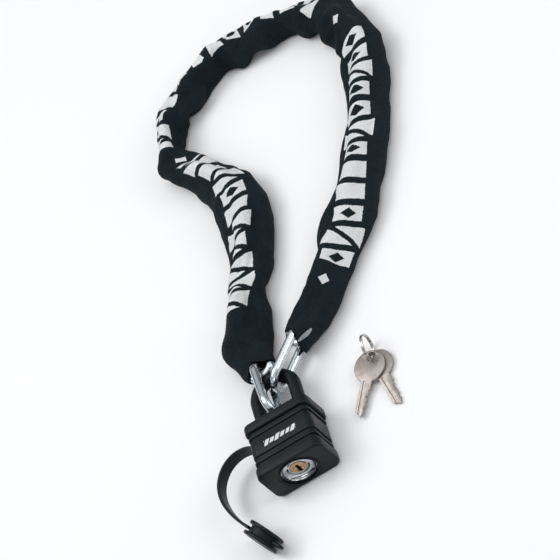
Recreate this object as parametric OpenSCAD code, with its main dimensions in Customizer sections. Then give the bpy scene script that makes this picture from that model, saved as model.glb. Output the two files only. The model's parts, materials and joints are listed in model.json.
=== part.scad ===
// Sleeved steel chain locked in a loop by a covered laminated padlock, with its two keys.
// The padlock lies on its back: X is its width, Y runs towards the shackle, Z is up.
// The origin is on the middle of the padlock's back face, where it rests.

/* [Padlock cover] */
// Width of the cover
cover_w = 51; // [50:0.5:54]
// Height of the cover, along the shackle legs
cover_h = 45; // [45:0.5:46]
// Depth of the cover, from its back to its front
cover_d = 32; // [31:0.5:34]
// Radius of the cover's long corners
cover_r = 6; // [5:0.5:7]
// How far the bands stand out from the grooves
band_step = 2.2; // [1:0.1:2.2]

/* [Laminated body] */
// Width of the plates
plate_w = 43; // [42.8:0.1:43.2]
// Depth of the plates
plate_d = 23.6; // [23.4:0.1:23.6]
// Thickness of one plate
plate_t = 2.8; // [2.7:0.05:2.8]

/* [Shackle] */
// Diameter of the steel bar
bar_dia = 7; // [6.8:0.1:7.2]
// Diameter over the vinyl sleeve
vinyl_dia = 9.4; // [8.6:0.1:9.6]
// Distance between the two legs
leg_spacing = 30.4; // [30:0.1:30.6]
// Height of the bend's centre above the middle of the cover
bend_height = 44.5; // [44.5:0.5:46]
// How far the body drops off the shackle when it opens
shackle_lift = 13.5; // [13.1:0.1:13.5]

/* [Chain] */
// Diameter of the link wire
wire_dia = 6.4; // [6:0.1:6.4]
// Width inside a link
link_inner_w = 12; // [12:0.1:12.4]
// Length inside a link
link_inner_l = 39; // [39:0.01:39.02]

/* [Sleeve] */
// Width of the sleeve
sleeve_w = 32; // [31:0.5:34]
// Thickness of the sleeve's cloth
sleeve_wall = 1; // [0.6:0.1:1]

/* [Keyway cap] */
// Diameter of the cap's outer flange
cap_dia = 26; // [24:0.5:28]
// Width of the rubber strap
strap_w = 10; // [8:0.5:12]
// Thickness of the rubber strap
strap_t = 2; // [1.6:0.1:2.4]

/* [Keys] */
// Diameter of a key's bow
bow_dia = 23.5; // [22:0.5:24]
// Thickness of a key
key_t = 2; // [1.8:0.1:2]
// Distance from a key's hole to its tip
key_reach = 45; // [42:1:45]

/* [Hidden] */
$fn = 48;
fit_gap = 0.05;
loose_gap = 0.15;
cloth_gap = 0.3;

// Padlock cover, bottom to top
mid_z = cover_d / 2;
cavity_w = plate_w + 0.2;
cavity_d = plate_d + 0.2;
cover_top_from = 7.6;
cover_band_from = -5.5;
cover_bottom_to = -5.6;
top_band_from = 15;
top_rib = [10.2, 12.4];
bottom_rib = [-10.8, -8.4];
bottom_band_to = -13.6;
cover_roof = 19.6;
pad_w = 34;
pad_h = 11;
pad_t = 3;
recess_r = 13;
lip_r = 14;
lip_h = 0.6;

// Laminated body: thirteen plates stacked along the legs
stack_from = -17.9;
plate_pitch = plate_t + 0.05;
plate_count = 13;
guide_level = 7;
cam_level = 10;
lever_level = 11;
plate_r = 3.5;
rivet_x = 18.2;
rivet_y = 8.3;
rivet_r = 1.8;

// Shackle and its notches
leg_x = leg_spacing / 2;
bar_r = bar_dia / 2;
vinyl_r = vinyl_dia / 2;
vinyl_from = cover_h / 2 + 0.6;
toe_end = cover_h / 2 - shackle_lift + 0.4;
heel_end = -8;
heel_bore_from = -12.2;
notch_depth = 1.3;
notch_from = 10.6;
notch_to = 16.35;

// Levers
lever_out = leg_x - bar_r + notch_depth - 0.1;
lever_in = 6.8;
lever_w = 7;
lever_tail = 4.4;
lever_taper = 1.8;
lever_t = 2.5;
lever_from = 13.6;

// Cylinder: plug, shell and pins along the middle of the body
plug_r = 5.6;
plug_from = -18.9;
plug_to = 1.4;
shell_r = 7.1;
shell_from = -17.9;
shell_to = 1.9;
chimney_w = 6.4;
chimney_top = 10.6;
pin_r = 1.3;
pin_first = -14.2;
pin_step = 3.9;
pin_count = 4;
driver_l = 2.3;
keyway_w = 2.2;
keyway_bottom = 5.2;
keyway_top = 3;
tail_r = 2.1;
cam_r = 4.6;
clip_r = 6.4;

// Chain: a link's loop centres lie loop_reach from its middle, its end wires end_reach
wire_r = wire_dia / 2;
bar_off = link_inner_w / 2 + wire_r;
loop_reach = (link_inner_l - link_inner_w) / 2;
end_reach = (link_inner_l + wire_dia) / 2;
link_half_w = bar_off + wire_r;
chain_z = sleeve_wall + cloth_gap + link_half_w;

// Where the end wire of each end link lies in the shackle, the way the link heads, and its lean
left_grip = [-3.5, 29.4, 18.6];
left_heading = 94.7;
left_lean = -4;
right_grip = [2.2, 49.9, 17];
right_heading = 50.5;
right_lean = 10;
// How far the last flat link reaches into the left end link, measured from the grip
left_reach = 47.526;
// Heading of each link from the left end link round to the right one, flat and upright in turn
link_headings = [
    110, 70, 65, 75, 98, 127, 129, 80, 36, 21, -9, -19, -36, -76, -111, -106, -113, -119, -129, -126, -135
];
link_count = len(link_headings);

// Sleeve section: a rounded box shape, and how far it runs over each end link
sleeve_h = 2 * chain_z;
sleeve_power = 2.6;
sleeve_sides = 16;
sleeve_over_right = 6;
sleeve_over_left = 2;

// Strap route from the cover to the cap, and the cap that stands on its rim
strap_z = 15;
strap_route = [
    [-26, 12.4], [-29, 14.8], [-34, 16.4], [-40, 16.6], [-46.5, 14.5], [-52.5, 10], [-57, 3],
    [-59, -5], [-58.7, -13.5], [-56.3, -22.5], [-52.7, -31], [-49, -37.5], [-46.5, -41.3]
];
strap_heading = 141.3;
barrel_r = 1.6;
lug_r = 2.9;
seat_half = 62;
cap_centre = [-38.8, -52.4];
cap_heading = -56.4;
cap_z = cap_dia / 2 + 0.2;
flange_t = 2.4;
cap_neck = 5.4;
cap_neck_dia = 21;

// Keys and their ring
hole_at = [70, 39.6];
hole_r = 3.5;
bow_off = 7;
blade_w = 8.2;
key_slope = 2.4;
key_b_z = 1.9;
key_gap = 0.15;
key_a_turn = -29.9;
key_b_turn = 9.6;
ring_r = 9.5;
ring_t = 1.3;
ring_w = 2.2;
ring_heading = 80;
ring_off = 5.7;

// ---- helpers ----

function along(heading) = [cos(heading), sin(heading)];
function in_plan(p) = [p[0], p[1]];
function level(i) = stack_from + i * plate_pitch;
function superellipse(a, half_w, half_h, power) = [
    half_w * sign(cos(a)) * pow(abs(cos(a)), 2 / power),
    half_h * sign(sin(a)) * pow(abs(sin(a)), 2 / power)
];
function section(half_w, half_h, sides, power) = [
    for (i = [0:sides - 1]) superellipse(360 * i / sides, half_w, half_h, power)
];

// The padlock's own frame: its Z is the row's Y, its front faces -Y
module in_padlock() {
    translate([0, 0, mid_z]) rotate([-90, 0, 0]) children();
}

module rounded_rect(w, d, r) {
    square([w - 2 * r, d], center = true);
    square([w, d - 2 * r], center = true);
    for (x = [-1, 1], y = [-1, 1])
        translate([x * (w / 2 - r), y * (d / 2 - r)]) circle(r);
}

module slab(from, to, w, d, r) {
    translate([0, 0, from]) linear_extrude(to - from) rounded_rect(w, d, r);
}

// A band of the cover with its edges rounded to the radius e
module rounded_band(from, to, w, d, r, e) {
    hull() for (a = [0:22.5:90]) {
        inset = e * (1 - sin(a));
        rise = e * (1 - cos(a));
        slab(from + inset, to - inset, w - 2 * rise, d - 2 * rise, r - rise, $fn = 32);
    }
}

// A tube or bar swept level along a plan route, its rings on the mitre of each corner
function route_dir(route, i) =
    let (
        before = i == 0 ? route[1] - route[0] : route[i] - route[i - 1],
        after = i == len(route) - 1 ? before : route[i + 1] - route[i]
    ) before / norm(before) + after / norm(after);
function ring_points(route, i, z, outline) =
    let (
        dir = route_dir(route, i),
        side = [-dir[1], dir[0]] / norm(dir),
        stretch = 2 / norm(dir)
    ) [for (p = outline) [each (route[i] + side * p[0] * stretch), z + p[1]]];
function side_faces(rings, sides, first, flip) = [
    for (i = [0:rings - 2], j = [0:sides - 1])
        let (
            a = first + i * sides + j,
            b = first + i * sides + (j + 1) % sides,
            c = b + sides,
            d = a + sides
        ) flip ? [d, c, b, a] : [a, b, c, d]
];

module swept_tube(route, z, outer, inner) {
    rings = len(route);
    sides = len(outer);
    start = rings * sides;
    last = (rings - 1) * sides;
    polyhedron(
        points = [
            for (i = [0:rings - 1]) each ring_points(route, i, z, outer),
            for (i = [0:rings - 1]) each ring_points(route, i, z, inner)
        ],
        faces = [
            each side_faces(rings, sides, 0, true),
            each side_faces(rings, sides, start, false),
            for (j = [0:sides - 1]) let (k = (j + 1) % sides) [j, k, start + k, start + j],
            for (j = [0:sides - 1]) let (k = (j + 1) % sides)
                [start + last + j, start + last + k, last + k, last + j]
        ]
    );
}

module swept_bar(route, z, outline) {
    rings = len(route);
    sides = len(outline);
    last = (rings - 1) * sides;
    polyhedron(
        points = [for (i = [0:rings - 1]) each ring_points(route, i, z, outline)],
        faces = [
            each side_faces(rings, sides, 0, true),
            [for (j = [0:sides - 1]) j],
            [for (j = [sides - 1:-1:0]) last + j]
        ]
    );
}

// A coil spring standing on its lower end
module coil(r, wire, length, turns) {
    steps = 12;
    sides = 6;
    rings = turns * steps + 1;
    polyhedron(
        points = [
            for (i = [0:rings - 1], j = [0:sides - 1])
                let (
                    a = 360 * i / steps,
                    b = 360 * j / sides,
                    reach = r + wire / 2 * cos(b),
                    rise = wire / 2 + (length - wire) * i / (rings - 1)
                ) [reach * cos(a), reach * sin(a), rise + wire / 2 * sin(b)]
        ],
        faces = [
            each side_faces(rings, sides, 0, true),
            [for (j = [0:sides - 1]) j],
            [for (j = [sides - 1:-1:0]) (rings - 1) * sides + j]
        ]
    );
}

// ---- cover ----

module leg_holes(from, to, r) {
    for (x = [-leg_x, leg_x])
        translate([x, 0, from]) cylinder(h = to - from, r = r);
}

// A round lug on the cover's left side holds the barrel at the strap's root
module at_strap_root() {
    translate([strap_route[0][0], mid_z - strap_z, strap_route[0][1]]) rotate([90, 0, 0]) children();
}

module strap_lug() {
    at_strap_root() translate([0, 0, -strap_w / 2]) cylinder(h = strap_w, r = lug_r);
}

// The seat inside the lug, open where the strap leaves it and swings
module strap_seat() {
    at_strap_root() translate([0, 0, -strap_w / 2 - 1]) {
        cylinder(h = strap_w + 2, r = barrel_r + loose_gap);
        linear_extrude(strap_w + 2) polygon([
            [0, 0], 7 * along(strap_heading - seat_half), 9 * along(strap_heading),
            7 * along(strap_heading + seat_half)
        ]);
    }
}

module cover_top() {
    color("#262c2c") in_padlock() difference() {
        union() {
            rounded_band(top_band_from, cover_h / 2, cover_w, cover_d, cover_r, 1.6);
            rounded_band(top_rib[0], top_rib[1], cover_w - band_step,
                cover_d - band_step, cover_r - 1, 0.7);
            slab(cover_top_from, top_band_from + 5, cover_w - 2 * band_step,
                cover_d - 2 * band_step, cover_r - 2);
            strap_lug();
        }
        slab(cover_top_from - 1, cover_roof, cavity_w, cavity_d, plate_r);
        leg_holes(cover_roof - 0.6, cover_h / 2 + 1, bar_r + loose_gap);
        strap_seat();
    }
}

// The middle band has a pad on its back, on which the padlock rests
module cover_band() {
    color("#2a3030") in_padlock() difference() {
        union() {
            rounded_band(cover_band_from, cover_top_from - 0.1, cover_w - band_step,
                cover_d - band_step, cover_r - 1, 0.8);
            translate([-pad_w / 2, cover_d / 2 - pad_t, cover_band_from + 1])
                cube([pad_w, pad_t, pad_h]);
        }
        slab(cover_band_from - 1, cover_top_from + 1, cavity_w, cavity_d, plate_r);
    }
}

module cover_bottom() {
    color("#262c2c") in_padlock() difference() {
        union() {
            rounded_band(-cover_h / 2, bottom_band_to, cover_w, cover_d, cover_r, 1.8);
            rounded_band(bottom_rib[0], bottom_rib[1], cover_w - band_step,
                cover_d - band_step, cover_r - 1, 0.7);
            slab(bottom_band_to - 5, cover_bottom_to, cover_w - 2 * band_step,
                cover_d - 2 * band_step, cover_r - 2);
            translate([0, 0, -cover_h / 2 - lip_h]) cylinder(h = 3, r = lip_r);
        }
        slab(stack_from - 0.1, cover_bottom_to + 1, cavity_w, cavity_d, plate_r);
        translate([0, 0, -cover_h / 2 - 2]) cylinder(h = 10, r = recess_r - 0.6);
        translate([0, 0, -cover_h / 2 - 2]) cylinder(h = 2.8, r = recess_r);
    }
}

// ---- laminated body ----

module plate_bores(heel, toe) {
    if (heel) translate([leg_x, 0, -50]) cylinder(h = 100, r = bar_r + fit_gap);
    if (toe) translate([-leg_x, 0, -50]) cylinder(h = 100, r = bar_r + fit_gap);
    for (x = [-rivet_x, rivet_x], y = [-rivet_y, rivet_y])
        translate([x, y, -50]) cylinder(h = 100, r = rivet_r + 0.03);
}

module plate(i, heel = true, toe = true) {
    difference() {
        slab(level(i), level(i) + plate_t, plate_w, plate_d, plate_r);
        plate_bores(heel, toe);
        children();
    }
}

module top_plate() {
    color("#9a9c9e") in_padlock() plate(plate_count - 1);
}

module lever_plate() {
    color("#8c8f91") in_padlock() plate(lever_level)
        translate([-leg_x, -lever_w / 2 - 0.1, 0]) cube([2 * leg_x, lever_w + 0.2, 20]);
}

module cam_plate() {
    color("#8c8f91") in_padlock() plate(cam_level) cylinder(h = 20, r = cam_r + 0.6);
}

// The lowest guide plate has a wider hole, in which the plug's clip turns
module guide_plates() {
    color("#8c8f91") in_padlock() for (i = [guide_level:cam_level - 1])
        plate(i, toe = level(i) + plate_t > toe_end)
            cylinder(h = 20, r = i == guide_level ? clip_r + 0.2 : tail_r + 0.2);
}

module cylinder_plates() {
    color("#8c8f91") in_padlock() for (i = [1:guide_level - 1])
        plate(i, heel = level(i) >= heel_bore_from, toe = false) {
            translate([0, 0, -20]) cylinder(h = 30, r = shell_r + 0.1);
            translate([-chimney_w / 2 - 0.1, -chimney_top - 0.2, -20])
                cube([chimney_w + 0.2, chimney_top, 30]);
        }
}

module bottom_plate() {
    color("#9a9c9e") in_padlock() plate(0, heel = false, toe = false) {
        translate([0, 0, -20]) cylinder(h = 30, r = shell_r + 0.1);
        translate([-chimney_w / 2 - 0.1, -chimney_top - 0.2, -20])
            cube([chimney_w + 0.2, chimney_top, 30]);
    }
}

module corner_rivets() {
    color("#b4b6b8") in_padlock() for (x = [-rivet_x, rivet_x], y = [-rivet_y, rivet_y])
        translate([x, y, stack_from])
            cylinder(h = plate_count * plate_pitch - 0.05, r = rivet_r);
}

// Dished chrome ring round the plug, held between the cover and the bottom plate
module keyway_dish() {
    color("#d8dadc") in_padlock() rotate_extrude() polygon([
        [recess_r - 0.8, -20.6], [recess_r - 0.8, -17.95], [plug_r + 0.15, -17.95],
        [plug_r + 0.15, -18.5], [plug_r + 0.9, -18.7], [8.6, -18.9], [10.6, -19.5], [11.6, -20.6]
    ]);
}

// ---- shackle ----

module shackle_bend(r_out, r_in = 0) {
    rotate([90, 0, 0]) rotate_extrude(angle = 180) translate([leg_x, 0]) difference() {
        circle(r_out);
        if (r_in > 0) circle(r_in);
    }
}

module shackle() {
    color("#c3c6c9") in_padlock() difference() {
        union() {
            translate([0, 0, bend_height]) shackle_bend(bar_r);
            translate([leg_x, 0, heel_end]) cylinder(h = bend_height - heel_end, r = bar_r);
            translate([-leg_x, 0, toe_end]) cylinder(h = bend_height - toe_end, r = bar_r);
        }
        for (s = [-1, 1])
            translate([s * (leg_x - bar_r) - notch_depth, -bar_r - 1, notch_from])
                cube([2 * notch_depth, bar_dia + 2, notch_to - notch_from]);
    }
}

module shackle_sleeve() {
    color("#20282a") in_padlock() {
        translate([0, 0, bend_height]) shackle_bend(vinyl_r, bar_r + fit_gap);
        for (x = [-leg_x, leg_x]) translate([x, 0, vinyl_from]) difference() {
            cylinder(h = bend_height - vinyl_from, r = vinyl_r);
            translate([0, 0, -1])
                cylinder(h = bend_height - vinyl_from + 2, r = bar_r + fit_gap);
        }
    }
}

module shackle_spring() {
    color("#b9bcc0") in_padlock() translate([leg_x, 0, heel_bore_from + 0.05])
        coil(2.6, 0.8, heel_end - heel_bore_from - 0.15, 4);
}

// ---- levers ----

// A lever's outer end fills the notch, and its inner end narrows towards the cam
module lever() {
    translate([0, 0, lever_from]) linear_extrude(lever_t) polygon([
        [lever_in, -lever_tail / 2], [lever_in + lever_taper, -lever_w / 2], [lever_out, -lever_w / 2],
        [lever_out, lever_w / 2], [lever_in + lever_taper, lever_w / 2], [lever_in, lever_tail / 2]
    ]);
}

module lever_left() {
    color("#a9a49a") in_padlock() mirror([1, 0, 0]) lever();
}

module lever_right() {
    color("#a9a49a") in_padlock() lever();
}

// ---- cylinder ----

function pin_level(i) = pin_first + i * pin_step;

module pin_bores() {
    for (i = [0:pin_count - 1])
        translate([0, 0, pin_level(i)]) rotate([90, 0, 0])
            cylinder(h = chimney_top - 0.6, r = pin_r + fit_gap);
}

module cylinder_shell() {
    color("#b8923f") in_padlock() difference() {
        union() {
            translate([0, 0, shell_from]) cylinder(h = shell_to - shell_from, r = shell_r);
            translate([-chimney_w / 2, -chimney_top, shell_from])
                cube([chimney_w, chimney_top, shell_to - shell_from]);
        }
        translate([0, 0, shell_from - 1])
            cylinder(h = shell_to - shell_from + 2, r = plug_r + fit_gap);
        pin_bores();
    }
}

module cylinder_plug() {
    color("#c9a14a") in_padlock() difference() {
        union() {
            translate([0, 0, plug_from]) cylinder(h = plug_to - plug_from, r = plug_r);
            translate([0, 0, plug_to - 1]) cylinder(h = level(cam_level) - plug_to + 1.2, r = tail_r);
        }
        translate([-keyway_w / 2, -keyway_top, plug_from - 1])
            cube([keyway_w, keyway_top + keyway_bottom, plug_to - plug_from - 1]);
        translate([keyway_w / 2 - 0.1, 0.4, plug_from - 1]) cube([0.8, 1.4, 18]);
        translate([-keyway_w / 2 - 0.7, 2.6, plug_from - 1]) cube([0.8, 1.2, 18]);
        pin_bores();
    }
}

// Cam on the plug's tail that works the two levers
module plug_cam() {
    color("#a9a49a") in_padlock() translate([0, 0, level(cam_level) + 0.25])
        intersection() {
            cylinder(h = 2.2, r = cam_r);
            translate([-2.6, -6, -1]) cube([5.2, 12, 5]);
        }
}

module plug_clip() {
    color("#b9bcc0") in_padlock() translate([0, 0, 2.1]) difference() {
        cylinder(h = 0.8, r = clip_r);
        translate([0, 0, -1]) cylinder(h = 3, r = tail_r + 0.05);
        translate([-1.6, 0, -1]) cube([3.2, 10, 3]);
    }
}

module key_pins() {
    color("#c9a14a") in_padlock() for (i = [0:pin_count - 1])
        translate([0, -plug_r + 0.1, pin_level(i)]) rotate([-90, 0, 0]) {
            length = 2 + (i * 7 % 4) * 0.5;
            cylinder(h = length, r = pin_r);
            translate([0, 0, length]) cylinder(h = 0.9, r1 = pin_r, r2 = 0.4);
        }
}

module driver_pins() {
    color("#b9bcc0") in_padlock() for (i = [0:pin_count - 1])
        translate([0, -plug_r - 0.15, pin_level(i)]) rotate([90, 0, 0])
            cylinder(h = driver_l, r = pin_r);
}

module pin_springs() {
    color("#d0d2d4") in_padlock() for (i = [0:pin_count - 1])
        translate([0, -plug_r - 0.25 - driver_l, pin_level(i)]) rotate([90, 0, 0])
            coil(0.9, 0.36, chimney_top - 0.75 - plug_r - driver_l, 4);
}

// ---- cap ----

module cap_strap() {
    color("#23282a") {
        swept_bar(strap_route, strap_z, [
            [strap_t / 2, -strap_w / 2], [strap_t / 2, strap_w / 2],
            [-strap_t / 2, strap_w / 2], [-strap_t / 2, -strap_w / 2]
        ]);
        translate([each strap_route[0], strap_z - strap_w / 2]) cylinder(h = strap_w, r = barrel_r);
    }
}

module keyway_cap() {
    color("#202628") translate([each cap_centre, cap_z]) rotate([90, 0, cap_heading]) {
        for (z = [-cap_neck / 2 - flange_t, cap_neck / 2])
            translate([0, 0, z]) cylinder(h = flange_t, r = cap_dia / 2);
        translate([0, 0, -cap_neck / 2 - 1]) cylinder(h = cap_neck + 2, r = cap_neck_dia / 2);
        translate([cap_neck_dia / 2 - 1, -2.5, -1.4]) cube([9, 5, 2.8]);
    }
}

// ---- chain ----

// A link lies along X with its flat side up, its middle at the origin
module chain_link() {
    for (y = [-bar_off, bar_off])
        translate([-loop_reach, y, 0]) rotate([0, 90, 0])
            cylinder(h = 2 * loop_reach, r = wire_r);
    for (turn = [0, 180]) rotate([0, 0, turn]) translate([loop_reach, 0, 0]) rotate([0, 0, -90])
        rotate_extrude(angle = 180) translate([bar_off, 0]) circle(wire_r);
}

// The pivots: each flat link spans its loop centres, each upright link its end wires
function link_span(i) = i % 2 == 0 ? 2 * loop_reach : 2 * end_reach;
function pivots(i = 0, at) = i > link_count ? [] : [
    at, each pivots(i + 1, i < link_count ? at + link_span(i) * along(link_headings[i]) : at)
];
chain_pivots = pivots(0, in_plan(left_grip) + left_reach * along(left_heading));

module links(first) {
    for (i = [first:2:link_count - 1])
        translate([each (chain_pivots[i] + chain_pivots[i + 1]) / 2, chain_z])
            rotate([0, 0, link_headings[i]]) rotate([first * 90, 0, 0]) chain_link();
}

module flat_links() {
    color("#aeb6bb") links(0);
}

module upright_links() {
    color("#aeb6bb") links(1);
}

// An end link slopes down from its grip in the shackle to the chain's height
module end_link(grip, heading, lean) {
    drop = asin((grip[2] - chain_z) / (2 * end_reach));
    translate(grip) rotate([0, drop, heading]) translate([end_reach, 0, 0])
        rotate([90 + lean, 0, 0]) chain_link();
}

module end_link_left() {
    color("#c9d0d4") end_link(left_grip, left_heading, left_lean);
}

module end_link_right() {
    color("#c9d0d4") end_link(right_grip, right_heading, right_lean);
}

module chain_sleeve() {
    route = [
        chain_pivots[0] - sleeve_over_left * along(left_heading),
        each chain_pivots,
        in_plan(right_grip) + (2 * end_reach - sleeve_over_right) * along(right_heading)
    ];
    outer = section(sleeve_w / 2, sleeve_h / 2, sleeve_sides, sleeve_power);
    inner = section(sleeve_w / 2 - sleeve_wall, sleeve_h / 2 - sleeve_wall, sleeve_sides, sleeve_power);
    color("#1b2528") swept_tube(route, chain_z, outer, inner);
}

// ---- keys ----

// A key lies flat with its hole at the origin and its blade along -Y
module key() {
    difference() {
        union() {
            translate([0, -bow_off, 0]) cylinder(h = key_t, r = bow_dia / 2);
            linear_extrude(key_t) polygon([
                [-blade_w / 2, -12], [blade_w / 2, -12], [blade_w / 2, -24], [blade_w / 2 - 1.4, -25.6],
                [blade_w / 2 - 0.6, -27.6], [blade_w / 2 - 2.4, -29.6], [blade_w / 2 - 1, -31.6],
                [blade_w / 2 - 2, -33.6], [blade_w / 2 - 0.8, -35.6], [blade_w / 2 - 2.6, -37.8],
                [blade_w / 2 - 1.6, -40], [0.6, -key_reach], [-blade_w / 2, -key_reach + 4]
            ]);
        }
        translate([0, 0, -1]) cylinder(h = key_t + 2, r = hole_r);
        translate([-2.2, -50, key_t - 0.6]) cube([1.3, 32, 1]);
        translate([-0.2, -50, -0.4]) cube([1.3, 32, 1]);
    }
}

module placed_key(z, turn) {
    translate([each hole_at, z]) rotate([key_slope, 0, 0]) rotate([0, 0, turn]) key();
}

module key_a() {
    color("#b9b0a6") placed_key(key_b_z + key_t + key_gap, key_a_turn);
}

module key_b() {
    color("#b9b0a6") placed_key(key_b_z, key_b_turn);
}

module split_ring() {
    color("#a8a39c") translate([each (hole_at + ring_off * along(ring_heading)), ring_r])
        rotate([90, 0, ring_heading]) rotate_extrude() polygon([
            [ring_r - ring_t, -ring_w / 2], [ring_r, -ring_w / 2], [ring_r, -0.12], [ring_r - 0.3, 0],
            [ring_r, 0.12], [ring_r, ring_w / 2], [ring_r - ring_t, ring_w / 2]
        ]);
}

cover_top();
cover_band();
cover_bottom();
top_plate();
lever_plate();
cam_plate();
guide_plates();
cylinder_plates();
bottom_plate();
corner_rivets();
keyway_dish();
shackle();
shackle_sleeve();
shackle_spring();
lever_left();
lever_right();
cylinder_shell();
cylinder_plug();
plug_cam();
plug_clip();
key_pins();
driver_pins();
pin_springs();
cap_strap();
keyway_cap();
chain_sleeve();
flat_links();
upright_links();
end_link_left();
end_link_right();
key_a();
key_b();
split_ring();
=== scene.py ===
"""Looks of a padlocked chain in a woven sleeve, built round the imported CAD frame.

The frame is in metres. Shapes are written in millimetres and scaled by MM.
"""

import json
import math

import bmesh
import bpy
import numpy as np
from mathutils import Matrix, Vector, noise


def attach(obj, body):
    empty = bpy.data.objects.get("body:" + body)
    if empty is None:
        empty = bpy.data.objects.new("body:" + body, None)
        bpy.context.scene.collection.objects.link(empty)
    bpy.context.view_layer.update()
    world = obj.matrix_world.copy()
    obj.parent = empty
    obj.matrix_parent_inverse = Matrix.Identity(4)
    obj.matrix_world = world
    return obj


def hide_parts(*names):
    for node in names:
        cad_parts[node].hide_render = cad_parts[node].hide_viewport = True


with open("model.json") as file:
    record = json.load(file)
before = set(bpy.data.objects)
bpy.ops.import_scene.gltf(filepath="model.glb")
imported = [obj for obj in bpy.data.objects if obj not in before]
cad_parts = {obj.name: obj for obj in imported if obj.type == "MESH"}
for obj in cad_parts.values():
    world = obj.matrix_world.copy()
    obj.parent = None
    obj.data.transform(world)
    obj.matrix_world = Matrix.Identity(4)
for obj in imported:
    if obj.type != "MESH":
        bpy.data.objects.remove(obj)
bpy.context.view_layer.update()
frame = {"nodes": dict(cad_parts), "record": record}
nodes = frame["nodes"]
scene = bpy.context.scene
MM = 0.001


# ---- camera, fitted to the photo's view ----

CAMERA_AT = (0.4391, -0.9003, 1.1212)
CAMERA_RIGHT = Vector((0.8225, -0.2292, -0.5205))
CAMERA_BACK = Vector((0.2620, -0.6595, 0.7045))

camera_data = bpy.data.cameras.new("camera")
camera_data.sensor_width = 36
camera_data.lens = 143.3
camera_data.clip_start = 0.05
camera_data.clip_end = 20
camera = bpy.data.objects.new("camera", camera_data)
scene.collection.objects.link(camera)
back = CAMERA_BACK.normalized()
right = (CAMERA_RIGHT - back * CAMERA_RIGHT.dot(back)).normalized()
up = back.cross(right)
camera.matrix_world = Matrix.Translation(CAMERA_AT) @ Matrix((right, up, back)).transposed().to_4x4()
scene.camera = camera
scene.view_settings.view_transform = "Standard"


# ---- floor and light ----

def area_light(name, at, target, size, power, colour=(1, 1, 1)):
    data = bpy.data.lights.new(name, "AREA")
    data.shape = "RECTANGLE"
    data.size, data.size_y = size
    data.energy = power
    data.color = colour
    lamp = bpy.data.objects.new(name, data)
    scene.collection.objects.link(lamp)
    lamp.location = at
    lamp.rotation_euler = (Vector(target) - Vector(at)).to_track_quat("-Z", "Y").to_euler()


LOOP_MIDDLE = (0.03, 0.15, 0)
area_light("key_light", (-0.9, 0.5, 1.5), LOOP_MIDDLE, (1.1, 0.8), 11.5)
area_light("side_light", (1.3, -0.1, 0.7), LOOP_MIDDLE, (0.35, 1.0), 5, (1, 0.99, 0.97))
area_light("front_light", (-0.2, -1.5, 0.9), LOOP_MIDDLE, (0.9, 0.35), 3, (0.96, 0.98, 1))
area_light("top_light", (0.1, 0.3, 1.9), LOOP_MIDDLE, (1.6, 1.6), 8)


def make_world():
    """A pale studio with darker low walls, so that bright metal has something to mirror."""
    world = bpy.data.worlds.new("studio")
    world.use_nodes = True
    tree = world.node_tree
    background = tree.nodes["Background"]
    coords = tree.nodes.new("ShaderNodeTexCoord")
    split = tree.nodes.new("ShaderNodeSeparateXYZ")
    ramp = tree.nodes.new("ShaderNodeValToRGB")
    ramp.color_ramp.elements[0].position = 0.0
    ramp.color_ramp.elements[0].color = (0.9, 0.9, 0.9, 1)
    ramp.color_ramp.elements[1].position = 0.62
    ramp.color_ramp.elements[1].color = (0.95, 0.97, 1, 1)
    for position, grey in ((0.16, 0.10), (0.30, 0.16), (0.40, 0.75)):
        element = ramp.color_ramp.elements.new(position)
        element.color = (grey, grey, grey * 1.04, 1)
    tree.links.new(coords.outputs["Generated"], split.inputs[0])
    tree.links.new(split.outputs["Z"], ramp.inputs[0])
    tree.links.new(ramp.outputs[0], background.inputs["Color"])
    background.inputs["Strength"].default_value = 0.56
    scene.world = world


make_world()


# ---- node materials ----

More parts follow.
